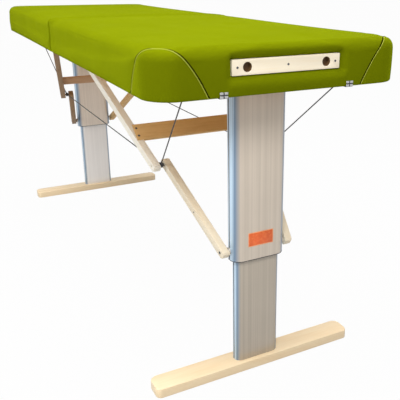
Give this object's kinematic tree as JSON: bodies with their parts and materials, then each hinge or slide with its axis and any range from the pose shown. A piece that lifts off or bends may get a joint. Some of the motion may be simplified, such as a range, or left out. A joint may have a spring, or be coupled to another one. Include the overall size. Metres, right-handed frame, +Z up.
{
  "type": "electric massage table",
  "caption": "Folding massage table: padded vinyl top in hinged halves on telescopic electric lifting columns with wooden feet, folding braces, steel cables and a headrest board.",
  "frame": {"origin": "on the floor under the middle of the table", "axes": "+Z up, +X along the table to the near (head) end with the headrest board, +Y across the table"},
  "size_m": [1.98, 0.65, 0.9047],
  "materials": {
    "upholstery": "satin apple-green vinyl with a fine grain",
    "birch": "pale birch, clear satin lacquer",
    "plywood": "warm brown plywood, clear lacquer",
    "column_aluminium": "anodised, brushed lengthwise",
    "plated_steel": "bright zinc plate",
    "dark_steel": "dark grey steel",
    "black_plastic": "black moulded plastic"
  },
  "bodies": {
    "near_half": {"near_pad": "upholstery", "near_skirt": "upholstery", "near_deck": "plywood", "near_centre_rail": "plywood", "near_end_rail": "plywood", "near_side_rail_left": "plywood", "near_side_rail_right": "plywood", "near_leg_shaft": "plated_steel", "near_brace_bolt_left": "plated_steel", "near_brace_bolt_right": "plated_steel", "near_end_cable_left": "dark_steel", "near_end_cable_right": "dark_steel", "middle_cable_left": "dark_steel", "middle_cable_right": "dark_steel", "centre_hinge_leaf_near": "plated_steel", "centre_hinge_pin": "plated_steel", "headrest_board": "birch", "control_box": "black_plastic"},
    "far_half": {"far_pad": "upholstery", "far_skirt": "upholstery", "far_deck": "plywood", "far_centre_rail": "plywood", "far_end_rail": "plywood", "far_side_rail_left": "plywood", "far_side_rail_right": "plywood", "far_leg_shaft": "plated_steel", "far_brace_bolt_left": "plated_steel", "far_brace_bolt_right": "plated_steel", "far_end_cable_left": "dark_steel", "far_end_cable_right": "dark_steel", "centre_hinge_leaf_far": "plated_steel"},
    "near_column": {"near_outer_column": "column_aluminium", "near_column_head": "black_plastic", "near_motor": "black_plastic", "near_spindle": "plated_steel", "near_guide": "black_plastic"},
    "near_foot": {"near_inner_column": "column_aluminium", "near_foot_bar": "birch"},
    "near_lower_struts": {"near_lower_strut_left": "birch", "near_lower_strut_right": "birch"},
    "near_upper_struts": {"near_upper_strut_left": "birch", "near_upper_strut_right": "birch", "near_knee_pin_left": "dark_steel", "near_knee_pin_right": "dark_steel", "near_cross_board": "plywood"},
    "far_column": {"far_outer_column": "column_aluminium", "far_column_head": "black_plastic", "far_motor": "black_plastic", "far_spindle": "plated_steel", "far_guide": "black_plastic"},
    "far_foot": {"far_inner_column": "column_aluminium", "far_foot_bar": "birch"},
    "far_lower_struts": {"far_lower_strut_left": "birch", "far_lower_strut_right": "birch"},
    "far_upper_struts": {"far_upper_strut_left": "birch", "far_upper_strut_right": "birch", "far_knee_pin_left": "dark_steel", "far_knee_pin_right": "dark_steel", "far_cross_board": "plywood"}
  },
  "joints": [
    {"name": "table_fold", "type": "hinge", "parent": "near_half", "child": "far_half", "pos_m": [0, 0, 0.7924], "axis": [0, -1, 0], "range_deg": [0, 90], "deforming": ["middle_cable_left", "middle_cable_right"]},
    {"name": "near_leg_fold", "type": "hinge", "parent": "near_half", "child": "near_column", "pos_m": [0.8485, 0, 0.812], "axis": [0, 1, 0], "range_deg": [0, 90], "deforming": ["near_end_cable_left", "near_end_cable_right"]},
    {"name": "far_leg_fold", "type": "hinge", "parent": "far_half", "child": "far_column", "pos_m": [-0.8485, 0, 0.812], "axis": [0, -1, 0], "range_deg": [0, 90], "deforming": ["far_end_cable_left", "far_end_cable_right"]},
    {"name": "near_knee", "type": "hinge", "parent": "near_upper_struts", "child": "near_lower_struts", "pos_m": [0.59096, 0, 0.53754], "axis": [0, 1, 0], "range_deg": [0, 171.7]},
    {"name": "far_knee", "type": "hinge", "parent": "far_upper_struts", "child": "far_lower_struts", "pos_m": [-0.59096, 0, 0.53754], "axis": [0, -1, 0], "range_deg": [0, 171.7]},
    {"name": "near_upper_strut", "type": "hinge", "parent": "near_half", "child": "near_upper_struts", "pos_m": [0.135, 0, 0.8665], "axis": [0, -1, 0], "range_deg": [0, 35.9]},
    {"name": "far_upper_strut", "type": "hinge", "parent": "far_half", "child": "far_upper_struts", "pos_m": [-0.135, 0, 0.8665], "axis": [0, 1, 0], "range_deg": [0, 35.9]},
    {"name": "near_lift", "type": "slide", "parent": "near_column", "child": "near_foot", "axis": [0, 0, -1], "range_m": [-0.28, 0]},
    {"name": "far_lift", "type": "slide", "parent": "far_column", "child": "far_foot", "axis": [0, 0, -1], "range_m": [-0.28, 0]}
  ],
  "couplings": [
    {"joint": "far_leg_fold", "follows": "near_leg_fold", "ratio": 1},
    {"joint": "near_knee", "follows": "near_leg_fold", "ratio": 1.9077},
    {"joint": "far_knee", "follows": "near_leg_fold", "ratio": 1.9077},
    {"joint": "near_upper_strut", "follows": "near_leg_fold", "ratio": 0.39788},
    {"joint": "far_upper_strut", "follows": "near_leg_fold", "ratio": 0.39788},
    {"joint": "far_lift", "follows": "near_lift", "ratio": 1}
  ]
}
